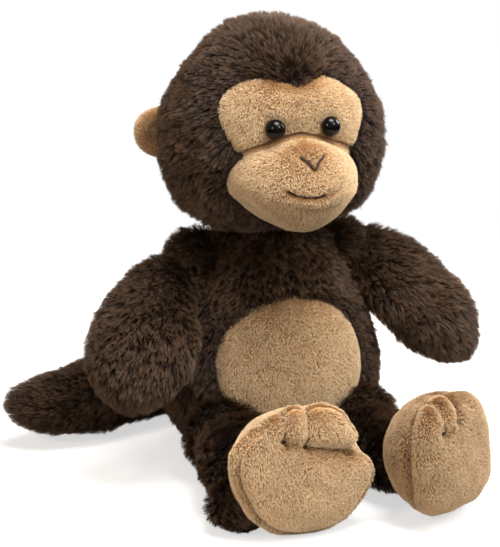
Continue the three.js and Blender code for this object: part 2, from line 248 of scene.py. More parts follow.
def catmull(points, per_piece, closed=False):
    """A centripetal Catmull-Rom curve through points, as a dense polyline."""
    p = np.array(points, float)
    if closed:
        p = np.vstack([p[-1], p, p[0], p[1]])
    else:
        p = np.vstack([2 * p[0] - p[1], p, 2 * p[-1] - p[-2]])
    out = []
    for i in range(1, len(p) - 2):
        a, b, c, d = p[i - 1:i + 3]
        t0 = 0
        t1 = t0 + np.linalg.norm(b - a) ** 0.5
        t2 = t1 + np.linalg.norm(c - b) ** 0.5
        t3 = t2 + np.linalg.norm(d - c) ** 0.5
        t = np.linspace(t1, t2, per_piece, endpoint=False)[:, None]
        ab = a + (b - a) * (t - t0) / (t1 - t0)
        bc = b + (c - b) * (t - t1) / (t2 - t1)
        cd = c + (d - c) * (t - t2) / (t3 - t2)
        abc = ab + (bc - ab) * (t - t0) / (t2 - t0)
        bcd = bc + (cd - bc) * (t - t1) / (t3 - t1)
        out.append(abc + (bcd - abc) * (t - t1) / (t2 - t1))
    if not closed:
        out.append(p[-2:-1])
    return np.vstack(out)


def mirrored(half):
    return half + [(-x, z) for x, z in reversed(half) if x > 0.01]


class Outline:
    """A closed outline in X and Z, seen from its centre: how far out its edge is each way."""

    def __init__(self, points, centre):
        self.centre = np.array(centre, float)
        line = catmull(points, 24, closed=True) - self.centre
        angle = np.arctan2(line[:, 1], line[:, 0])
        order = np.argsort(angle)
        self.angle, self.reach = angle[order], np.linalg.norm(line, axis=1)[order]

    def edge(self, angle):
        return np.interp(angle, self.angle, self.reach, period=2 * math.pi)

    def outside(self, x, z):
        """Millimetres outside the edge, negative inside."""
        dx, dz = x - self.centre[0], z - self.centre[1]
        return np.hypot(dx, dz) - self.edge(np.arctan2(dz, dx))


FACE_SHIFT = -1  # the face is sewn a touch toward the monkey's right
FRINGE = 3.5  # how far the fur comes down over the mask's corner on the monkey's left
MASK = Outline([(x + FACE_SHIFT, z - FRINGE * (28 < x < 43 and z > 210))
                for x, z in mirrored(MASK_HALF)], (FACE_SHIFT, 210))
MUZZLE_EDGE = Outline([(x + FACE_SHIFT, z) for x, z in mirrored(MUZZLE_HALF)], (FACE_SHIFT, 176))


# ---- soft forms -----------------------------------------------------------------------
class Form:
    """A stuffed form round a spine: oval rings that close to a point at both ends."""

    def __init__(self, stations, power, up, low_power=None):
        table = np.array(stations, float)
        self.power, self.low_power = power, low_power or power
        self.up = np.array(up, float)
        self.line = catmull(table[:, :3], 60)
        steps = np.linalg.norm(np.diff(self.line, axis=0), axis=1)
        self.along = np.concatenate([[0], np.cumsum(steps)])
        self.along /= self.along[-1]
        chords = np.linalg.norm(np.diff(table[:, :3], axis=0), axis=1)
        self.length = chords.sum()
        self.reach = np.concatenate([[0], np.cumsum(chords)]) / self.length
        self.sizes = table[:, 3:]

    def frame(self, t):
        point = np.stack([np.interp(t, self.along, self.line[:, k]) for k in range(3)], -1)
        step = 0.004
        ahead = np.stack([np.interp(np.minimum(t + step, 1), self.along, self.line[:, k])
                          for k in range(3)], -1)
        behind = np.stack([np.interp(np.maximum(t - step, 0), self.along, self.line[:, k])
                           for k in range(3)], -1)
        tangent = unit(ahead - behind)
        side = unit(np.cross(self.up, tangent))
        return point, tangent, side, np.cross(tangent, side)

    def size(self, t, k):
        return np.interp(t, self.reach, self.sizes[:, k])

    def closing(self, s):
        power = np.where(s < 0.5, self.low_power, self.power)
        return np.maximum(1 - np.abs(2 * s - 1) ** power, 0) ** (1 / power)

    def skin(self, s, turn, inset=0.0):
        """Points of the skin: s runs along the spine and turn goes round it."""
        t = inset / self.length + s * (1 - 2 * inset / self.length)
        point, _, side, deep = self.frame(t)
        closing = self.closing(s)
        across = ((self.size(t, 0) - inset) * closing * np.cos(turn))[..., None]
        inward = ((self.size(t, 1) - inset) * closing * np.sin(turn))[..., None]
        return point + side * across + deep * inward

    def shell(self, around, rings, inset=0.0):
        """The whole skin as points and faces."""
        theta = np.linspace(0, math.pi, rings + 1)[1:-1]
        turn = circle(around)
        s = (1 - np.cos(theta)) / 2
        grid = self.skin(np.repeat(s, around), np.tile(turn, rings - 1), inset)
        ends = self.skin(np.array([0.0, 1.0]), np.zeros(2), inset)
        return close_grid(grid, around, ends[0], ends[1])


def close_grid(grid, around, first, last):
    """Rings of points closed by a point at each end, as points and faces."""
    rows = len(grid) // around
    a = np.arange(around)
    b = (a + 1) % around
    faces = []
    for r in range(rows - 1):
        low, high = r * around, (r + 1) * around
        faces += np.stack([low + a, low + b, high + b, high + a], 1).tolist()
    start, end = rows * around, rows * around + 1
    faces += np.stack([np.full(around, start), b, a], 1).tolist()
    top = (rows - 1) * around
    faces += np.stack([np.full(around, end), top + a, top + b], 1).tolist()
    return np.vstack([grid, first, last]), faces


def ball(centre, radius, around=40):
    theta = np.linspace(0, math.pi, around // 2 + 1)[1:-1]
    turn = circle(around)
    t, u = np.repeat(theta, around), np.tile(turn, len(theta))
    round_ = np.stack([np.sin(t) * np.cos(u), np.sin(t) * np.sin(u), -np.cos(t)], 1)
    c = np.array(centre, float)
    low, high = c - (0, 0, radius), c + (0, 0, radius)
    return close_grid(c + round_ * radius, around, low, high)


def mesh_object(name, points, faces, scale=MM):
    """A smooth mesh in the scene, from points in millimetres unless scale says otherwise."""
    mesh = bpy.data.meshes.new(name)
    mesh.from_pydata((np.asarray(points, float) * scale).tolist(), [], [list(f) for f in faces])
    mesh.validate()
    mesh.polygons.foreach_set("use_smooth", [True] * len(mesh.polygons))
    obj = bpy.data.objects.new(name, mesh)
    bpy.context.scene.collection.objects.link(obj)
    return obj


def outward(obj):
    """Turns the faces of a closed mesh so that they point out."""
    work = bmesh.new()
    work.from_mesh(obj.data)
    bmesh.ops.recalc_face_normals(work, faces=work.faces)
    work.to_mesh(obj.data)
    work.free()
    return obj


def joined(shells):
    points, faces, start = [], [], 0
    for p, f in shells:
        points.append(p)
        faces += [[start + i for i in face] for face in f]
        start += len(p)
    return np.vstack(points), faces


def bake_modifiers(obj):
    graph = bpy.context.evaluated_depsgraph_get()
    made = bpy.data.meshes.new_from_object(obj.evaluated_get(graph))
    obj.modifiers.clear()
    obj.data = made
    return obj


def one_skin(name, shells, voxel, passes):
    """One even, closed skin over closed shells that overlap, softened where they meet."""
    obj = mesh_object(name, *joined(shells))
    outward(obj)
    remesh = obj.modifiers.new("remesh", "REMESH")
    remesh.mode, remesh.voxel_size = "VOXEL", voxel * MM
    relax = obj.modifiers.new("relax", "SMOOTH")
    relax.factor, relax.iterations = 0.5, passes
    bake_modifiers(obj)
    obj.data.polygons.foreach_set("use_smooth", [True] * len(obj.data.polygons))
    return obj


def points_of(obj):
    """The points and outward normals of a mesh, in millimetres."""
    n = len(obj.data.vertices)
    p, v = np.zeros(n * 3), np.zeros(n * 3)
    obj.data.vertices.foreach_get("co", p)
    obj.data.vertex_normals.foreach_get("vector", v)
    return p.reshape(-1, 3) / MM, v.reshape(-1, 3)


def move_points(obj, points):
    obj.data.vertices.foreach_set("co", (points * MM).ravel())
    obj.data.update()


def mark(obj, name, values):
    """Stores one number for each point, which the material reads."""
    spot = obj.data.attributes.new(name, "FLOAT", "POINT")
    spot.data.foreach_set("value", np.asarray(values, np.float32))


# ---- materials ------------------------------------------------------------------------
def srgb(r, g, b):
    return tuple((c / 255 / 12.92 if c <= 10 else ((c / 255 + 0.055) / 1.055) ** 2.4)
                 for c in (r, g, b)) + (1,)


class Paint:
    """A node material under construction."""

    def __init__(self, name):
        self.material = bpy.data.materials.new(name)
        self.material.use_nodes = True
        self.tree = self.material.node_tree
        self.tree.nodes.clear()
        self.out = self.tree.nodes.new("ShaderNodeOutputMaterial")
        self.place = self.tree.nodes.new("ShaderNodeTexCoord").outputs["Object"]

    def node(self, kind, **settings):
        made = self.tree.nodes.new(kind)
        for key, value in settings.items():
            setattr(made, key, value)
        return made

    def feed(self, made, **values):
        for key, value in values.items():
            socket = made.inputs[key.replace("_", " ")]
            if isinstance(value, bpy.types.NodeSocket):
                self.tree.links.new(value, socket)
            else:
                socket.default_value = value
        return made

    def stretched(self, by):
        return self.feed(self.node("ShaderNodeMapping"), Vector=self.place, Scale=by).outputs[0]

    def speckle(self, size, detail=3.0, place=None, roughness=0.6):
        made = self.feed(self.node("ShaderNodeTexNoise"), Vector=place or self.place,
                         Scale=1 / (size * MM), Detail=detail, Roughness=roughness)
        return made.outputs["Fac"]

    def cells(self, size):
        made = self.feed(self.node("ShaderNodeTexVoronoi"), Vector=self.place,
                         Scale=1 / (size * MM))
        return made.outputs["Distance"]

    def ramp(self, value, *stops):
        made = self.node("ShaderNodeValToRGB")
        self.tree.links.new(value, made.inputs[0])
        elements = made.color_ramp.elements
        while len(elements) < len(stops):
            elements.new(0.5)
        for element, (place, color) in zip(elements, stops):
            element.position, element.color = place, color
        return made.outputs["Color"]

    def mix(self, a, b, share, blend="MIX"):
        made = self.node("ShaderNodeMix", data_type="RGBA", blend_type=blend)
        for socket, value in ((made.inputs[0], share), (made.inputs[6], a), (made.inputs[7], b)):
            if isinstance(value, bpy.types.NodeSocket):
                self.tree.links.new(value, socket)
            else:
                socket.default_value = value
        return made.outputs[2]

    def times(self, a, b):
        return self.mix(a, b, 1.0, "MULTIPLY")

    def bump(self, height, depth):
        made = self.feed(self.node("ShaderNodeBump"), Height=height, Strength=1.0)
        made.inputs["Distance"].default_value = depth * MM
        return made.outputs[0]

    def attribute(self, name):
        return self.node("ShaderNodeAttribute", attribute_name=name).outputs["Fac"]

    def finish(self, **values):
        shader = self.feed(self.node("ShaderNodeBsdfPrincipled"), **values)
        self.tree.links.new(shader.outputs[0], self.out.inputs[0])
        return self.material


def grey(value):
    return (value,) * 3 + (1,)


GLOW, FADE = 0.62, (0.28, 0.6)  # the floor's own light, and where it turns to white, in metres


def floor_material():
    """A pale sweep: it takes a soft shadow by the toy and runs out to plain white."""
    p = Paint("pale_floor")
    shade = p.ramp(p.speckle(60), (0.3, srgb(186, 184, 182)), (0.7, srgb(190, 188, 186)))
    near = p.feed(p.node("ShaderNodeBsdfDiffuse"), Color=shade)
    seen = p.node("ShaderNodeLightPath").outputs["Is Camera Ray"]
    glow = p.feed(p.node("ShaderNodeEmission"), Color=WHITE)
    lift = p.node("ShaderNodeMath", operation="MULTIPLY")
    lift.inputs[1].default_value = GLOW
    p.tree.links.new(seen, lift.inputs[0])
    p.tree.links.new(lift.outputs[0], glow.inputs["Strength"])
    both = p.node("ShaderNodeAddShader")
    p.tree.links.new(near.outputs[0], both.inputs[0])
    p.tree.links.new(glow.outputs[0], both.inputs[1])
    far = p.feed(p.node("ShaderNodeEmission"), Color=WHITE, Strength=seen)
    away = p.node("ShaderNodeVectorMath", operation="LENGTH")
    p.tree.links.new(p.place, away.inputs[0])
    fade = p.feed(p.node("ShaderNodeMapRange", interpolation_type="SMOOTHSTEP"),
                  From_Min=FADE[0], From_Max=FADE[1])
    p.tree.links.new(away.outputs["Value"], fade.inputs["Value"])
    either = p.node("ShaderNodeMixShader")
    for socket, source in zip(either.inputs, (fade, both, far)):
        p.tree.links.new(source.outputs[0], socket)
    p.tree.links.new(either.outputs[0], p.out.inputs[0])
    return p.material


def fur_ground_material():
    """The brown skin under the pile: painted shade in the gaps between the tufts, lighter on their tips."""
    p = Paint("long_fur_ground")
    tuft = p.attribute("tuft")
    # painted shade: dark where the tuft mark is low, in the gaps between tufts
    base = p.ramp(tuft, (0.1, srgb(26, 18, 12)), (0.55, srgb(46, 33, 24)), (0.95, srgb(72, 53, 39)))
    strands = p.speckle(0.9, place=p.stretched((1, 1, 0.35)))
    tone = p.ramp(strands, (0.3, (0.55, 0.55, 0.55, 1)), (0.7, (1.25, 1.22, 1.2, 1)))
    return p.finish(Base_Color=p.times(base, tone), Roughness=0.95, Specular_IOR_Level=0.15,
                    Sheen_Weight=0.25, Sheen_Roughness=0.5, Normal=p.bump(strands, 0.6))


def pile_ground_material():
    """The tan short-pile skin, grainy, with darker roots showing between the fibres, and painted shade
    where its painted_shade mark is high.
    """
    p = Paint("short_pile_ground")
    grain = p.speckle(0.8)
    base = p.ramp(grain, (0.3, srgb(158, 114, 66)), (0.5, srgb(198, 156, 106)),
                  (0.75, srgb(228, 196, 150)))
    cloud = p.ramp(p.speckle(16, detail=2), (0.35, srgb(248, 242, 236)), (0.65, srgb(255, 255, 255)))
    # painted shade: the painted_shade mark darkens creases, seams, undersides and less-lit sides of the tan
    # pieces
    painted_shade = p.ramp(p.attribute("painted_shade"), (0.0, srgb(255, 255, 255)), (1.0, srgb(150, 118, 92)))
    color = p.times(p.times(base, cloud), painted_shade)
    return p.finish(Base_Color=color, Roughness=0.92, Specular_IOR_Level=0.15, Sheen_Weight=0.2,
                    Sheen_Roughness=0.5, Normal=p.bump(grain, 0.5))


def strand_material(name, root, middle, tip, patchy, cloudy, roughness=0.5):
    """One fibre of the pile: darker at its root, partly its own colour and partly painted shade deep in the
    pile, with small differences between fibres and painted shade from its shade attribute.
    """
    p = Paint(name)
    hair = p.node("ShaderNodeHairInfo")
    base = p.ramp(hair.outputs["Intercept"], (0.0, root), (0.55, middle), (1.0, tip))
    spread = p.ramp(hair.outputs["Random"], (0.0, grey(1 - patchy)), (1.0, grey(1 + patchy)))
    cloud = p.ramp(p.speckle(14, detail=2), (0.35, grey(1 - cloudy)), (0.65, grey(1 + cloudy / 2)))
    # painted shade from the fibre's shade attribute
    shade = p.ramp(p.attribute("shade"), (0.0, (0.4, 0.3, 0.22, 1)), (1.0, WHITE))
    color = p.times(p.times(p.times(base, spread), cloud), shade)
    return p.finish(Base_Color=color, Roughness=roughness, Specular_IOR_Level=0.3)


def eye_material():
    p = Paint("eye_plastic")
    depth = p.ramp(p.speckle(5), (0.3, srgb(9, 7, 7)), (0.7, srgb(14, 11, 10)))
    wear = p.ramp(p.speckle(1.2), (0.4, grey(0.06)), (0.8, grey(0.11)))
    return p.finish(Base_Color=depth, Roughness=wear, Specular_IOR_Level=0.2)


def grained(name, grain, low, high, depth, **look):
    """A material whose colour and relief both follow grain(paint)."""
    p = Paint(name)
    value = grain(p)
    return p.finish(Base_Color=p.ramp(value, low, high), Normal=p.bump(value, depth), **look)


FUR_SKIN, PILE_SKIN = fur_ground_material(), pile_ground_material()
EYE = eye_material()
THREAD = grained("embroidery_thread", lambda p: p.speckle(0.35, place=p.stretched((1, 1, 3))),
                 (0.3, srgb(34, 18, 11)), (0.7, srgb(64, 38, 25)), 0.15,
                 Roughness=0.55, Specular_IOR_Level=0.4)
FILLING = grained("fibre_filling", lambda p: p.speckle(2.2, detail=6), (0.3, srgb(214, 211, 203)),
                  (0.65, srgb(246, 244, 238)), 1.2, Roughness=1.0, Sheen_Weight=0.3)
PELLETS = grained("pellet_bag", lambda p: p.cells(3.2), (0.1, srgb(238, 232, 216)),
                  (0.7, srgb(196, 188, 168)), 1.0, Roughness=0.7)
NYLON = grained("moulded_nylon", lambda p: p.speckle(1.5), (0.3, srgb(232, 232, 228)),
                (0.7, srgb(244, 244, 241)), 0.05, Roughness=0.45)
FUR_STRAND = strand_material("long_fur_strand", srgb(16, 10, 6), srgb(52, 37, 26),
                             srgb(116, 90, 69), 0.45, 0.28)
PILE_STRAND = strand_material("short_pile_strand", srgb(182, 134, 84), srgb(223, 190, 144),
                              srgb(246, 225, 190), 0.2, 0.04, 0.6)


def paint_over(obj, material):
    obj.data.materials.clear()
    obj.data.materials.append(material)


def settle(obj, body, node, material):
    """Ties a piece to its body and the node it stands for, and gives it its look."""
    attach(obj, body)
    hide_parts(node)
    paint_over(obj, material)


# ---- pile -----------------------------------------------------------------------------
STRAND_POINTS = 5


def triangles_of(obj):
    obj.data.calc_loop_triangles()
    flat = np.zeros(len(obj.data.loop_triangles) * 3, int)
    obj.data.loop_triangles.foreach_get("vertices", flat)
    return flat.reshape(-1, 3)


def grow_pile(name, skin, body, look, comb, keep, seed):
    """Fibres over a skin. look says how dense, long, thick and leaning they are; comb gives the
    way they lie, and keep gives each root's share of full length, 0 for none."""
    rng = np.random.default_rng(seed)
    points, normals = points_of(skin)
    tri = triangles_of(skin)
    a, b, c = (points[tri[:, k]] for k in range(3))
    area = np.linalg.norm(np.cross(b - a, c - a), axis=1) / 2
    density = look["density"] * 1
    count = int(area.sum() * density)
    pick = np.searchsorted(np.cumsum(area) / area.sum(), rng.random(count))
    u, v = rng.random(count), rng.random(count)
    flip = u + v > 1
    u[flip], v[flip] = 1 - u[flip], 1 - v[flip]
    weight = np.stack([1 - u - v, u, v], 1)[:, :, None]
    root = (points[tri[pick]] * weight).sum(1)
    normal = unit((normals[tri[pick]] * weight).sum(1))
    share = keep(root, normal)
    alive = share > 0.02
    root, normal, share = root[alive], normal[alive], share[alive]
    count = len(root)
    way = comb(root, normal)
    way = unit(way - normal * (way * normal).sum(1, keepdims=True))
    drift = np.stack([noise(root, look["drift_size"], k) for k in range(3)], 1)
    scatter = rng.normal(0, look["scatter"], (count, 3))
    start = unit(normal + way * look["lean"] + drift * look["drift"] + scatter)
    length = look["length"] * share * (1 + 0.22 * noise(root, 7, 3) + rng.normal(0, 0.1, count))
    length = np.clip(length, 0.25 * look["length"] * share, 1.5 * look["length"])[:, None, None]
    t = np.linspace(0, 1, STRAND_POINTS)[None, :, None]
    strand = root[:, None] + start[:, None] * length * t
    strand = strand + (way * look["droop"])[:, None] * length * t * t
    for spacing, pull in look["clumps"]:
        leaders = rng.permutation(count)[:max(8, int(area.sum() / spacing ** 2))]
        tree = KDTree(len(leaders))
        for i, leader in enumerate(leaders):
            tree.insert(root[leader], i)
        tree.balance()
        owner = leaders[np.array([tree.find(p)[1] for p in root])]
        strand = strand + (strand[owner] - strand) * pull * t ** 1.4
    curves = bpy.data.hair_curves.new(name)
    curves.add_curves([STRAND_POINTS] * count)
    curves.attributes["position"].data.foreach_set("vector", (strand * MM).ravel())
    thick = look["radius"] * (1 - (1 - look["tip"]) * np.linspace(0, 1, STRAND_POINTS) ** 1.5)
    radius = curves.attributes.get("radius") or curves.attributes.new("radius", "FLOAT", "POINT")
    radius.data.foreach_set("value", np.tile(thick * MM, count).astype(np.float32))
    shade = curves.attributes.new("shade", "FLOAT", "CURVE")
    # painted shade on the fibres: shorter fibres are darker, and darker again under the skin's
    # painted_shade mark
    tone = 0.3 + 0.7 * np.clip(share, 0, 1)
    if "painted_shade" in skin.data.attributes:
        held = np.zeros(len(points), np.float32)
        skin.data.attributes["painted_shade"].data.foreach_get("value", held)
        tone *= 1 - 0.75 * (held[tri[pick]] * weight[:, :, 0]).sum(1)[alive]
    shade.data.foreach_set("value", tone.astype(np.float32))
    curves.materials.append(look["material"])
    pile = bpy.data.objects.new(name, curves)
    bpy.context.scene.collection.objects.link(pile)
    pile.parent = frame["bodies"][body]


# density is in fibres for each square millimetre; a clump has its spacing and how far it gathers
LONG = {"density": 2.7, "length": 6.4, "radius": 0.12, "tip": 0.3, "lean": 0.55, "droop": 0.35,
        "drift": 0.5, "drift_size": 12, "scatter": 0.17, "clumps": [(1.8, 0.5), (5.5, 0.25)],
        "material": FUR_STRAND}
SHORT = {"density": 8.5, "length": 1.9, "radius": 0.11, "tip": 0.5, "lean": 0.6, "droop": 0.1,
         "drift": 0.25, "drift_size": 4, "scatter": 0.22, "clumps": [(0.95, 0.5)],
         "material": PILE_STRAND}


def everywhere(root, normal):
    return np.ones(len(root))


def toward(*direction):
    return lambda root, normal: np.tile(np.array(direction, float), (len(root), 1))


def along(form):
    """Pile that lies along a limb, toward its tip."""
    tree = KDTree(len(form.line))
    for i, p in enumerate(form.line):
        tree.insert(p, i)
    tree.balance()
    tangents = unit(np.gradient(form.line, axis=0))

    def comb(root, normal):
        return tangents[[tree.find(p)[1] for p in root]]
    return comb


def tufted(obj, height=1.9, size=3.2):
    """Raises the skin in small tufts, so that its own surface is furry too."""
    p, n = points_of(obj)
    bend = np.stack([noise(p, 6, k) for k in range(3)], 1) * 1.6
    ridge = 1 - np.abs(noise((p + bend) * (1, 1, 0.6), size, 4))
    fine = 1 - np.abs(noise(p * (1, 1, 0.7), size * 0.55, 5))
    tuft = np.clip(0.65 * ridge ** 2 + 0.45 * fine ** 2, 0, 1)
    swell = noise(p, 22, 2) * 0.6
    move_points(obj, p + n * (height * tuft + swell)[:, None])
    mark(obj, "tuft", tuft)
    return obj


# ---- sewn panels ----------------------------------------------------------------------
def tree_of(shell):
    points, faces = shell
    return BVHTree.FromPolygons(points.tolist(), [list(map(int, f)) for f in faces])


def cast(tree, x, z):
    """Where a line from the front at this x and z meets the form, and the way out there."""
    hit, normal, _, _ = tree.ray_cast(Vector((x, -300, z)), Vector((0, 1, 0)))
    if hit is None:
        hit, normal, _, _ = tree.find_nearest(Vector((x, -60, z)))
    normal = Vector(normal)
    return np.array(hit), np.array(normal if normal.y < 0 else -normal)


def sunk_under(outside):
    """How far the fur's ground dips under a panel, from its distance outside the seam."""
    return PANEL_SINK * (1 - smooth(-4, 0.5, outside))


def panel(name, tree, outline, rise, rings=60, around=180):
    """A closed panel laid on a form: rise(f, x, z) lifts its face, and f runs from 0 at its
    middle to 1 at its seam."""
    share = np.linspace(0, 1, rings + 1)[1:]
    turn = circle(around)
    f, a = np.repeat(share, around), np.tile(turn, rings)
    reach = outline.edge(a)
    x = np.append(outline.centre[0] + f * reach * np.cos(a), outline.centre[0])
    z = np.append(outline.centre[1] + f * reach * np.sin(a), outline.centre[1])
    f = np.append(f, 0.0)
    spots = [cast(tree, px, pz) for px, pz in zip(x, z)]
    base = np.array([s[0] for s in spots])
    out = unit(np.array([s[1] for s in spots]))
    face = base + out * rise(f, x, z)[:, None]
    back = base - out * PANEL_BACK
    inner = back[:-1].reshape(rings, around, 3)
    grid = np.vstack([face[:-1], inner[::-1].reshape(-1, 3)])
    points, faces = close_grid(grid, around, face[-1], back[-1])
    return outward(mesh_object(name, points, faces))


def tube(points, radius, sides=8):
    """A closed round bar along points, in millimetres."""
    p = np.array(points, float)
    tangent = unit(np.gradient(p, axis=0))
    side = unit(np.cross(tangent, (0.1, 0.2, 1)))
    over = np.cross(tangent, side)
    turn = circle(sides)
    ring = (side[:, None] * np.cos(turn)[None, :, None] + over[:, None] * np.sin(turn)[None, :, None])
    grid = (p[:, None] + ring * radius).reshape(-1, 3)
    return close_grid(grid, sides, p[0], p[-1])


def twisted_thread(points, radius, pitch=2.2, plies=3):
    """A thread of twisted plies along points."""
    p = catmull(points, 14)
    tangent = unit(np.gradient(p, axis=0))
    side = unit(np.cross(tangent, (0.1, 0.2, 1)))
    over = np.cross(tangent, side)
    run = np.concatenate([[0], np.cumsum(np.linalg.norm(np.diff(p, axis=0), axis=1))])
    strands = []
    for k in range(plies):
        turn = (run / pitch + k / plies) * 2 * math.pi
        offset = side * np.cos(turn)[:, None] + over * np.sin(turn)[:, None]
        strands.append(tube(p + offset * radius * 0.5, radius * 0.62, 6))
    return joined(strands)


# ---- the head -------------------------------------------------------------------------
head_form = Form(HEAD, 2.2, FORWARD)
muzzle_form = Form(MUZZLE, 2.1, FORWARD)


def eye_distance(x, z):
    return np.minimum(np.hypot(x - EYE_X, z - EYE_Z), np.hypot(x + EYE_X, z - EYE_Z))


def face_outside(p):
    """Millimetres outside the tan face, for points on the front of the head."""
    edge = np.minimum(MASK.outside(p[:, 0], p[:, 2]), MUZZLE_EDGE.outside(p[:, 0], p[:, 2]))
    return np.where(p[:, 1] < -10, edge, FAR_OUT)


JOWL_Z, TEMPLE_Z, TEMPLE_SPAN, CHEEK = 158, 240, 22, (24, 44)
CROWN = (0, -20, 205)  # the pile of the head runs away from here


def temple_bell(p):
    return bell(p[:, 2] - TEMPLE_Z, TEMPLE_SPAN) * smooth(*CHEEK, np.abs(p[:, 0]))


def make_head():
    """The head's skin: fuller at the jowls, sunk under the face, and tufted."""
    jowled = Form(HEAD, 2.2, FORWARD, 3.0)
    skin = one_skin("head_fur", [jowled.shell(120, 90, FUR_GROUND)], 1.4, 2)
    p, n = points_of(skin)
    outside = face_outside(p)
    jowl = 2.5 * bell(p[:, 2] - JOWL_Z, 17) * smooth(*CHEEK, np.abs(p[:, 0]))
    jowl -= 0.4 * temple_bell(p)
    move_points(skin, p + n * (jowl - sunk_under(outside))[:, None])
    tufted(skin)
    settle(skin, "head", "head_fur_shell", FUR_SKIN)

    def keep(root, normal):
        outside = face_outside(root)
        clear_of_neck = np.linalg.norm(root - np.array(NECK), axis=1) > NECK_R + 3
        length = np.where(outside > -0.8, 0.55 + 0.45 * smooth(0, 8, outside), 0)
        return length * clear_of_neck * (1 - 0.3 * temple_bell(root))

    def comb(root, normal):
        away = root - np.array(CROWN, float)
        away[:, 1] += 8
        return unit(away) + np.array([0, 0.25, -0.55])
    grow_pile("head_pile", skin, "head", LONG, comb, keep, 11)


def make_mask():
    tree = tree_of(head_form.shell(96, 72, PILE_GROUND + 2.0))

    def rise(f, x, z):
        puff = 1.0 - 2.6 * f ** 10 + 1.2 * bell(z - EYE_Z - 14, 8)
        eyes = 1.9 * bell(eye_distance(x, z), 6.5)
        between = 1.8 * bell(z - EYE_Z - 2, 4.0) * (1 - smooth(EYE_X - 6, EYE_X + 8, np.abs(x)))
        return puff - eyes - between - 1.2 * bell(MUZZLE_EDGE.outside(x, z) - 1, 2.5)

    mask = panel("brow_mask", tree, MASK, rise)
    p, _ = points_of(mask)
    x, z = p[:, 0], p[:, 2]
    # painted shade round the eyes, in the fold between them and along the muzzle's seam
    fold = bell(z - EYE_Z - 1, 3.5) * (1 - smooth(EYE_X - 6, EYE_X + 4, np.abs(x)))
    seam = bell(MUZZLE_EDGE.outside(x, z) - 0.8, 1.3)
    mark(mask, "painted_shade", np.clip(0.5 * bell(eye_distance(x, z), 7.5) + 0.35 * fold + seam, 0, 1))
    settle(mask, "head", "brow_mask_panel", PILE_SKIN)

    def keep(root, normal):
        shown = (normal[:, 1] < 0.1) & (MASK.outside(root[:, 0], root[:, 2]) < -0.6)
        seam = 0.35 + 0.65 * smooth(1, 3, np.abs(MUZZLE_EDGE.outside(root[:, 0], root[:, 2])))
        return shown * smooth(4.8, 6.8, eye_distance(root[:, 0], root[:, 2])) * seam
    grow_pile("brow_mask_pile", mask, "head", SHORT, face_comb, keep, 21)


def face_comb(root, normal):
    return np.stack([root[:, 0] * 0.02, np.zeros(len(root)), -np.ones(len(root))], 1)


def on_muzzle(x, z):
    """The height at which the frame lays a stitch that is drawn at x and z on the flat."""
    s = (z - MUZZLE[0][2]) / (MUZZLE[-1][2] - MUZZLE[0][2])
    wide = muzzle_form.skin(np.array([s]), np.zeros(1))[0][0]
    return muzzle_form.skin(np.array([s]), np.array([math.acos(x / wide)]))[0][2]


def muzzle_shape(p):
    """Wide where it is sewn to the head, narrower at the front, and inside its own seam."""
    p = p.copy()
    y = p[:, 1]
    p[:, 0] *= 1 + 0.1 * smooth(-58, -46, y) - 0.14 * (1 - smooth(-78, -52, y))
    p[:, 0] += 1.6 * FACE_SHIFT * smooth(8, 30, np.abs(p[:, 0]))
    dx, dz = p[:, 0] - FACE_SHIFT, p[:, 2] - MUZZLE_EDGE.centre[1]
    reach = np.maximum(np.hypot(dx, dz), 1e-6)
    edge = MUZZLE_EDGE.edge(np.arctan2(dz, dx)) * (0.92 + 0.15 * smooth(-62, -46, y))
    share = reach / edge
    held = np.where(share < 0.8, share, 0.8 + 0.2 * np.tanh((share - 0.8) / 0.2))
    p[:, 0], p[:, 2] = FACE_SHIFT + dx * held / share, MUZZLE_EDGE.centre[1] + dz * held / share
    return p


def stitch_lines():
    lines = {}
    for name, line, radius in (("nose_thread", NOSE, 0.62), ("mouth_thread", SMILE, 0.5)):
        lines[name] = [(x, on_muzzle(x, z)) for x, z in catmull(line, 8)], radius
    return lines


def make_muzzle_filling():
    points, faces = muzzle_form.shell(60, 40, PILE_GROUND + 3)
    filling = outward(mesh_object("muzzle_filling", muzzle_shape(points), faces))
    p, n = points_of(filling)
    move_points(filling, p - n * 0.8)
    settle(filling, "head", "muzzle_stuffing", FILLING)


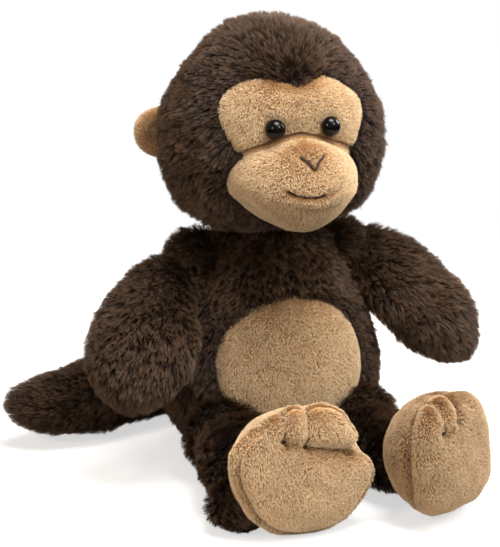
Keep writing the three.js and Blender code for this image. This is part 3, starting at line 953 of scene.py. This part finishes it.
def make_muzzle():
    """The bulging muzzle with its pulled smile, chin and nose, its pile and its threads."""
    points, faces = muzzle_form.shell(180, 120, PILE_GROUND)
    muzzle = outward(mesh_object("muzzle", muzzle_shape(points), faces))
    p, n = points_of(muzzle)
    x, z = p[:, 0], p[:, 2]
    front = smooth(0.1, 0.5, -n[:, 1])
    smile_z = 172.8 + np.where(x < 0, 0.012, 0.025) * x * x
    smile = bell(z - smile_z, 1.5) * (1 - smooth(13, 20, np.abs(x + 0.5)))
    chin = 0.8 * bell(z - 166.2 - 0.012 * (x - 1) ** 2, 1.4) * (1 - smooth(8, 15, np.abs(x - 1)))
    nose = bell(np.hypot(x * 0.8, z - 192), 5)
    lip = 0.9 * bell(np.hypot(x * 0.5, z - 169.5), 4)
    drop = (1.7 * smile + chin + 0.9 * nose - lip) * front
    move_points(muzzle, p - n * drop[:, None])
    # painted shade: darker toward the bottom and toward negative x, and in the smile, chin and nose creases
    under = 0.55 * (1 - smooth(158, 188, z)) * (1 - 0.6 * smooth(0, 28, x))
    mark(muzzle, "painted_shade", np.clip(under + (0.5 * smile + 0.4 * chin + 0.3 * nose) * front, 0, 1))
    settle(muzzle, "head", "muzzle_panel", PILE_SKIN)
    make_muzzle_filling()
    lines = stitch_lines()
    sewn = KDTree(sum(len(line) for line, _ in lines.values()))
    for line, _ in lines.values():
        for sx, sz in line:
            sewn.insert((sx, 0, sz), 0)
    sewn.balance()

    def keep(root, normal):
        clear = np.array([sewn.find((rx, 0, rz))[2] for rx, _, rz in root])
        return (root[:, 1] < -42) * smooth(0.4, 2.4, clear)
    grow_pile("muzzle_pile", muzzle, "head", SHORT, face_comb, keep, 22)
    tree = tree_of((points_of(muzzle)[0], [list(f.vertices) for f in muzzle.data.polygons]))
    for name, (line, radius) in lines.items():
        route = []
        for sx, sz in line[::2]:
            hit, out = cast(tree, sx, sz)
            route.append(hit + out * 0.9)
        obj = mesh_object(name, *twisted_thread(np.array(route), radius))
        outward(obj)
        settle(obj, "head", name.replace("thread", "stitch"), THREAD)


def make_eyes():
    """A domed bead with a thin flange, turned about its own axis, on its shank."""
    dome = [(0, -5.7), (1.4, -5.55), (2.8, -5.1), (4.0, -4.3), (5.0, -3.25), (5.7, -2.0), (6.0, -0.9)]
    rim = [(6.15, -0.6), (6.15, -0.2), (5.7, 0.1), (2.2, 0.2), (1.7, 0.6), (1.7, 13), (0, 13)]
    profile = np.vstack([catmull(dome, 8), catmull(rim, 4)])
    around = 64
    turn = circle(around)
    profile[:, 0] *= 0.95
    for side in SIDES:
        lean = EYE_TURN * WAY[side]
        ring = profile[1:-1]
        grid = np.stack([
            np.outer(ring[:, 0], np.cos(turn)),
            np.repeat(ring[:, 1][:, None], around, 1),
            np.outer(ring[:, 0], np.sin(turn)),
        ], -1).reshape(-1, 3)
        ends = np.array([[0, profile[0][1], 0], [0, profile[-1][1], 0]])
        cos, sin = math.cos(lean), math.sin(lean)
        spin = np.array([[cos, -sin, 0], [sin, cos, 0], [0, 0, 1]])
        seat = np.array([WAY[side] * EYE_X, EYE_Y, EYE_Z])
        points, faces = close_grid(grid @ spin.T + seat, around, *(ends @ spin.T + seat))
        obj = outward(mesh_object(f"eye_bead_{side}", points, faces))
        settle(obj, "head", f"eye_{side}", EYE)


def make_ears():
    for side in SIDES:
        way = WAY[side]
        outline = Outline([(way * x, z) for x, z in EAR], (way * EAR_CENTRE[0], EAR_CENTRE[1]))
        rings, around = 36, 120
        f = np.repeat(np.linspace(0, 1, rings + 1)[1:], around)
        a = np.tile(circle(around), rings)
        x = outline.centre[0] + f * outline.edge(a) * np.cos(a)
        z = outline.centre[1] + f * outline.edge(a) * np.sin(a)
        flat = np.sqrt(np.maximum(1 - f ** 4, 0))
        rim = 3.3 * flat * (0.35 + 0.65 * smooth(0.35, 0.8, f))
        for part, way_out, thick in (("front", -1, rim), ("back", 1, 3.3 * flat)):
            near = 0.25 * way_out
            outer = np.stack([x, EAR_Y + near + way_out * thick, z], 1).reshape(rings, around, 3)
            inner = np.stack([x, np.full(len(x), EAR_Y + near * 0.4), z], 1).reshape(rings, around, 3)
            middle = np.array([outline.centre[0], 0, outline.centre[1]])
            tops = (middle + (0, EAR_Y + near + way_out * thick[0], 0), middle + (0, EAR_Y + near * 0.4, 0))
            grid = np.vstack([outer.reshape(-1, 3), inner[:-1][::-1].reshape(-1, 3)])
            obj = outward(mesh_object(f"ear_{part}_{side}", *close_grid(grid, around, *tops)))
            p, _ = points_of(obj)
            dx, dz = p[:, 0] - outline.centre[0], p[:, 2] - outline.centre[1]
            share = np.hypot(dx, dz) / outline.edge(np.arctan2(dz, dx))
            # painted shade on the ear near the head and along its rim, fainter on the back panel
            inside = 1 - smooth(54, 63, np.abs(p[:, 0]))
            mark(obj, "painted_shade", np.clip(0.3 * inside + 0.12 * bell(share - 0.8, 0.05), 0, 1)
                 * (1 if part == "front" else 0.3))
            settle(obj, "head", f"ear_{part}_panel_{side}", PILE_SKIN)

            def keep(root, normal, way_out=way_out):
                return (normal[:, 1] * way_out > -0.2).astype(float)
            look = dict(SHORT, length=1.5)
            grow_pile(f"ear_{part}_pile_{side}", obj, "head", look, toward(way, 0, 0.3), keep, 31)


# ---- the torso ------------------------------------------------------------------------
torso_form = Form(TORSO, 2.4, FORWARD)
BELLY_SAG = 4  # how much further the panel reaches below its middle than above it
BELLY_EDGE = Outline([(BELLY[0] + BELLY_HALF[0] * math.cos(a),
                       BELLY[1] + (BELLY_HALF[1] + BELLY_SAG * (math.sin(a) < 0)) * math.sin(a))
                      for a in circle(16)], BELLY)
DART_X, DART_TOP = 6.0, 40.0  # the short seam under the belly's middle


def dart_line(x, z, width):
    return bell(x - DART_X, width) * (1 - smooth(DART_TOP - 2, DART_TOP + 3, z))


def belly_outside(p):
    return np.where(p[:, 1] < -15, BELLY_EDGE.outside(p[:, 0], p[:, 2]), FAR_OUT)


def make_torso():
    """The body's skin with the neck, sunk under the belly and flat where it sits."""
    shells = [torso_form.shell(120, 80, FUR_GROUND), ball(NECK, NECK_R - FUR_GROUND)]
    skin = one_skin("torso_fur", shells, 1.5, 3)
    p, n = points_of(skin)
    move_points(skin, p - n * sunk_under(belly_outside(p))[:, None])
    tufted(skin)
    p, _ = points_of(skin)
    p[:, 2] = np.maximum(p[:, 2], 0.0)
    move_points(skin, p)
    settle(skin, "torso", "torso_fur_shell", FUR_SKIN)

    def keep(root, normal):
        outside = belly_outside(root)
        length = np.where(outside > -0.8, 0.5 + 0.5 * smooth(0, 9, outside), 0)
        seam = bell(root[:, 0] - 1, 2.2) * smooth(96, 108, root[:, 2]) * (root[:, 1] < -10)
        return length * (1 - 0.45 * seam) * (root[:, 2] > 1.5) * (root[:, 2] < 160)

    def comb(root, normal):
        return np.stack([root[:, 0] * 0.006, np.zeros(len(root)), -np.ones(len(root))], 1)
    grow_pile("torso_pile", skin, "torso", LONG, comb, keep, 41)


def make_belly():
    tree = tree_of(torso_form.shell(96, 72, PILE_GROUND + 1.0))

    def rise(f, x, z):
        return 1.2 - 3.0 * f ** 10 - 2.0 * dart_line(x, z, 1.3)

    belly = panel("belly", tree, BELLY_EDGE, rise)
    p, _ = points_of(belly)
    # painted shade in the dart and over the whole panel, darker toward negative x
    dart = dart_line(p[:, 0], p[:, 2], 1.5)
    mark(belly, "painted_shade", np.clip(0.8 * dart + 0.38 - 0.18 * smooth(-30, 30, p[:, 0]), 0, 1))
    settle(belly, "torso", "belly_panel", PILE_SKIN)

    def keep(root, normal):
        shown = (normal[:, 1] < 0.2) & (BELLY_EDGE.outside(root[:, 0], root[:, 2]) < -0.4)
        return shown.astype(float)
    grow_pile("belly_pile", belly, "torso", SHORT, toward(0, 0, -1), keep, 42)


# ---- limbs and tail -------------------------------------------------------------------
HEEL = ((-59, -131, 13.5), 13.5)  # the fur that shows below the right foot's outer edge


ROOT_COVER = 2  # how much the skin stands out over the wad at a limb's root


def furry_limb(name, form, root, radius, body, node, seed, keep=everywhere, trim=None, extra=()):
    """The skin and pile of a limb, with the ball of its sewn root and any extra shells."""
    shells = [form.shell(90, 90, FUR_GROUND), ball(root, radius - FUR_GROUND + ROOT_COVER), *extra]
    skin = one_skin(name, shells, 1.4, 3)
    tufted(skin, 1.3)
    if trim:
        trim(skin)
    settle(skin, body, node, FUR_SKIN)
    look = dict(LONG, drift=0.3, clumps=[(1.4, 0.42), (5, 0.2)])
    grow_pile(f"{name}_pile", skin, body, look, along(form), keep, seed)


def on_floor(skin):
    p, _ = points_of(skin)
    p[:, 2] = np.maximum(p[:, 2], 0.6)
    move_points(skin, p)


def above_floor(root, normal):
    """Pile under a limb that rests on the floor is pressed flat."""
    return 0.25 + 0.75 * smooth(1, 9, root[:, 2] + 6 * (normal[:, 2] + 0.4))


def make_limbs():
    for k, side in enumerate(SIDES):
        arm = Form(ARM[side], 2.5, ARM_FACE[side])
        shoulder = (WAY[side] * SHOULDER[0], *SHOULDER[1:])
        furry_limb(f"arm_fur_{side}", arm, shoulder, SHOULDER_R, f"arm_{side}",
                   f"arm_fur_shell_{side}", 51 + k)
        leg = Form(LEG[side], 4, UPWARD)
        foot_centre = np.array(FOOT[side][1][:3], float)

        def keep(root, normal, centre=foot_centre):
            shown = np.linalg.norm((root - centre) * (1, 1.4, 1), axis=1) > 24
            return above_floor(root, normal) * shown
        heel = (ball(*HEEL),) if side == "right" else ()
        furry_limb(f"leg_fur_{side}", leg, LEG[side][0][:3], HIP_R, f"leg_{side}",
                   f"leg_fur_shell_{side}", 61 + k, keep, on_floor, heel)
    tail = Form(TAIL, 2.8, UPWARD)
    furry_limb("tail_fur", tail, TAIL[0][:3], TAIL_R, "tail", "tail_fur_shell", 71, above_floor,
               on_floor)


# ---- feet -----------------------------------------------------------------------------
KNOTS = {"right": [(-13.8, 19.5), (-1.6, 15.4)], "left": [(-23.5, 18.5), (-10.0, 21.5)]}
TOE_TOPS = {"right": [(-11.5, 40.0), (1.5, 40.0)], "left": [(-17.0, 42.0), (-2.0, 40.0)]}
NOTCH = (25.0, 9.5)
SEAM_BACK = {"right": 7.0, "left": 17.0}
TOE_NODES = {"right": ("outer", "inner"), "left": ("inner", "outer")}
FILLING_BACK = 4.4  # how far the filling stays behind a foot's own skin
# painted shade over each whole cushion, darker on the pieces that get less light
CUSHION_SHADE = {"right": {"sole": 0.26, "upper": 0.3}, "left": {"sole": 0.62, "upper": 0.85}}
# where each foot's outline swells or is nipped in: degrees round it, share, spread in degrees
FOOT_OUTLINE = {
    "right": [(150, 0.09, 25), (19, -0.3, 13), (42, -0.12, 14), (205, -0.05, 30),
              (-14, 0.04, 12), (83, -0.03, 8)],
    "left": [(45, -0.12, 28), (0, -0.07, 25), (128, 0.08, 24), (85, -0.02, 10),
             (-146, 0.06, 15), (-93, -0.088, 42)],
}


SQUARE = 2.7  # the left foot's corners are fuller than an oval's, which would be 2


def line_distance(a, b, start, end):
    """Distance to a segment, and how far along it, for points (a, b)."""
    sx, sz = start
    dx, dz = end[0] - sx, end[1] - sz
    t = np.clip(((a - sx) * dx + (b - sz) * dz) / (dx * dx + dz * dz), 0, 1)
    return np.hypot(a - sx - t * dx, b - sz - t * dz), t


def foot_outline(side, turn, s):
    """The outline's share of its oval, round the foot, taken up toward the front."""
    change = np.zeros_like(turn)
    for middle, share, spread in FOOT_OUTLINE[side]:
        off = np.mod(turn - math.radians(middle) + math.pi, 2 * math.pi) - math.pi
        change += share * bell(off, math.radians(spread))
    if side == "left":
        corner = np.abs(np.cos(turn)) ** SQUARE + np.abs(np.sin(turn)) ** SQUARE
        change = change + corner ** (-1 / SQUARE) - 1
    return 1 + change * smooth(0.3, 0.75, s)


def crease(distance):
    """A pulled crease: a sharp fold in a wide, soft valley, as a share of its depth."""
    return 0.5 * bell(distance, 1.4) + 0.5 * bell(distance, 4.2)


def foot_relief(side, a, b, s):
    """How far the sole's face is pulled in, in millimetres, and how much painted shade its creases get."""
    front = smooth(0.5, 0.8, s)
    first, second = KNOTS[side]
    pulled = 2.6 * crease(line_distance(a, b, first, second)[0])
    for knot, top in zip(KNOTS[side], TOE_TOPS[side]):
        d, t = line_distance(a, b, knot, top)
        pulled = np.maximum(pulled, (4.8 - 0.8 * t) * crease(d))
        pulled = np.maximum(pulled, 5.2 * bell(np.hypot(a - knot[0], b - knot[1]), 3.4))
    raised = 1.4 * bell(np.hypot(a - 4, b + 12), 20)
    if side == "right":
        d, t = line_distance(a, b, second, NOTCH)
        pulled = np.maximum(pulled, (4.6 + 1.4 * t) * crease(d))
        ledge = np.interp(a, [first[0], second[0], NOTCH[0]], [first[1], second[1], NOTCH[1]])
        raised = raised + 3.8 * smooth(0, 6, b - ledge) * smooth(-26, -12, a)
    else:
        raised = raised + 1.2 * smooth(14, 22, b)
    return (pulled - raised) * front, np.clip(pulled / 4.5 - 0.15, 0, 1) * front


def make_foot(side):
    """Both panels of a foot, split along its seam, with their pile and the filling inside."""
    form = Form(FOOT[side], 3.8, UPWARD)
    around, rings = 220, 160
    rows = rings - 1
    theta = np.linspace(0, math.pi, rings + 1)[1:-1]
    s = np.repeat((1 - np.cos(theta)) / 2, around)
    turn = np.tile(np.linspace(-math.pi, math.pi, around, endpoint=False), rows)
    margin = PILE_GROUND / form.length
    t = margin + s * (1 - 2 * margin)
    point, tangent, across, deep = form.frame(t)
    closing = form.closing(s) * foot_outline(side, turn, s)
    a = (form.size(t, 0) - PILE_GROUND) * closing * np.cos(turn)
    b = (form.size(t, 1) - PILE_GROUND) * closing * np.sin(turn)
    grid = point + across * a[:, None] + deep * b[:, None]
    s, a, b = np.append(s, [0, 1]), np.append(a, [0, 0]), np.append(b, [0, 0])
    ends = form.frame(np.array([margin, 1 - margin]))[0]
    points, faces = close_grid(grid, around, ends[0], ends[1])
    whole = outward(mesh_object("foot", points, faces))
    p, n = points_of(whole)
    relief, dark = foot_relief(side, a, b, s)
    seam = 1 - SEAM_BACK[side] / form.length
    off_seam = (s - seam) * form.length
    sewn = 1 - smooth(3, 16, b + 0.3 * a)
    groove, lip = 2.0 * bell(off_seam, 1.1) * sewn, 0.9 * bell(np.abs(off_seam) - 2.6, 1.3) * sewn
    wrinkle = 0.7 * noise(p, 11, 1)
    p = p - n * (relief + groove - lip - wrinkle)[:, None]
    p[:, 2] = np.maximum(p[:, 2], 0.5)
    move_points(whole, p)
    inner = p - points_of(whole)[1] * FILLING_BACK
    bpy.data.objects.remove(whole)
    make_leg_filling(side, (inner, faces))
    # painted shade along the seam's groove as well
    dark = np.clip(dark + 0.55 * bell(off_seam, 1.3) * sewn, 0, 1)
    split = int(np.searchsorted(s[:-2].reshape(rows, around)[:, 0], seam)) * around
    centre = form.frame(np.array([seam]))[0][0]
    ahead = tangent[-1]
    for part, way, ring, back, tip, marks in (
        ("sole", 1, p[split:-2], centre, p[-1], dark[split:-2]),
        ("upper", -1, p[:split], p[-2], centre, dark[:split]),
    ):
        obj = mesh_object(f"foot_{part}_skin_{side}", *close_grid(ring, around, back, tip))
        outward(obj)
        # painted shade: crease and seam shade, never less than the cushion's own painted shade
        mark(obj, "painted_shade", np.maximum(np.append(marks, [0, 0]), CUSHION_SHADE[side][part]))
        settle(obj, f"leg_{side}", f"foot_{part}_{side}", PILE_SKIN)

        def keep(root, normal, way=way):
            shown = ((root - centre) @ ahead) * way > 0.3
            return shown * (0.35 + 0.65 * smooth(0.5, 4, root[:, 2]))
        grow_pile(f"foot_{part}_pile_{side}", obj, f"leg_{side}", SHORT, toward(0, -0.3, -1),
                  keep, 81)
    return form, p, a, b, s


def make_leg_filling(side, foot):
    """The filling of a leg, kept inside the pulled creases of its foot."""
    leg = Form(LEG[side], 4, UPWARD)
    hidden = FUR_GROUND + 2
    shells = [foot, leg.shell(60, 50, hidden), ball(LEG[side][0][:3], HIP_R - hidden)]
    filling = one_skin(f"leg_filling_{side}", shells, 2.0, 2)
    settle(filling, f"leg_{side}", f"leg_stuffing_{side}", FILLING)


def make_toe_threads(side, form, p, a, b, s):
    """The dark thread down each toe's crease, and the knot it is tied off with."""
    front = s > 0.55
    ahead = form.frame(np.array([1.0]))[1][0]
    for toe, knot, top in zip(TOE_NODES[side], KNOTS[side], TOE_TOPS[side]):
        route = []
        for k in np.linspace(0, 1, 9):
            spot = (knot[0] + (top[0] - knot[0]) * k * 0.8, knot[1] + (top[1] - knot[1]) * k * 0.8)
            nearest = np.argmin(np.where(front, np.hypot(a - spot[0], b - spot[1]), 1e9))
            if not route or np.linalg.norm(route[-1] - p[nearest]) > 0.5:
                route.append(p[nearest])
        route = np.array(route) + ahead * 0.3
        lump = route[0] + ahead * 1.7
        shells = [twisted_thread(route, 0.4, pitch=1.6, plies=2)]
        for k, (dx, dz) in enumerate(((0, 0), (0.7, 0.4), (-0.5, 0.6))):
            shells.append(ball(lump + (dx, 0.2 * k, dz), 1.3, 14))
        obj = outward(mesh_object(f"toe_thread_{toe}_{side}", *joined(shells)))
        settle(obj, f"leg_{side}", f"toe_stitch_{toe}_{side}", THREAD)


# ---- what the skins hide --------------------------------------------------------------
INNER_LOOKS = {"washer": NYLON, "bean": PELLETS, "stuffing": FILLING, "wad": FILLING}


def finish_inner_nodes():
    """Looks for the frame's own solids that stay; scene.py's fillings stand for the others."""
    for name, node in frame["nodes"].items():
        remade = name.startswith(("leg_stuffing", "muzzle_stuffing"))
        for word, material in INNER_LOOKS.items():
            if word in name and not remade:
                paint_over(node, material)


make_camera()
make_studio()
make_head()
make_mask()
make_muzzle()
make_eyes()
make_ears()
make_torso()
make_belly()
make_limbs()
for foot_side in SIDES:
    make_toe_threads(foot_side, *make_foot(foot_side))
finish_inner_nodes()
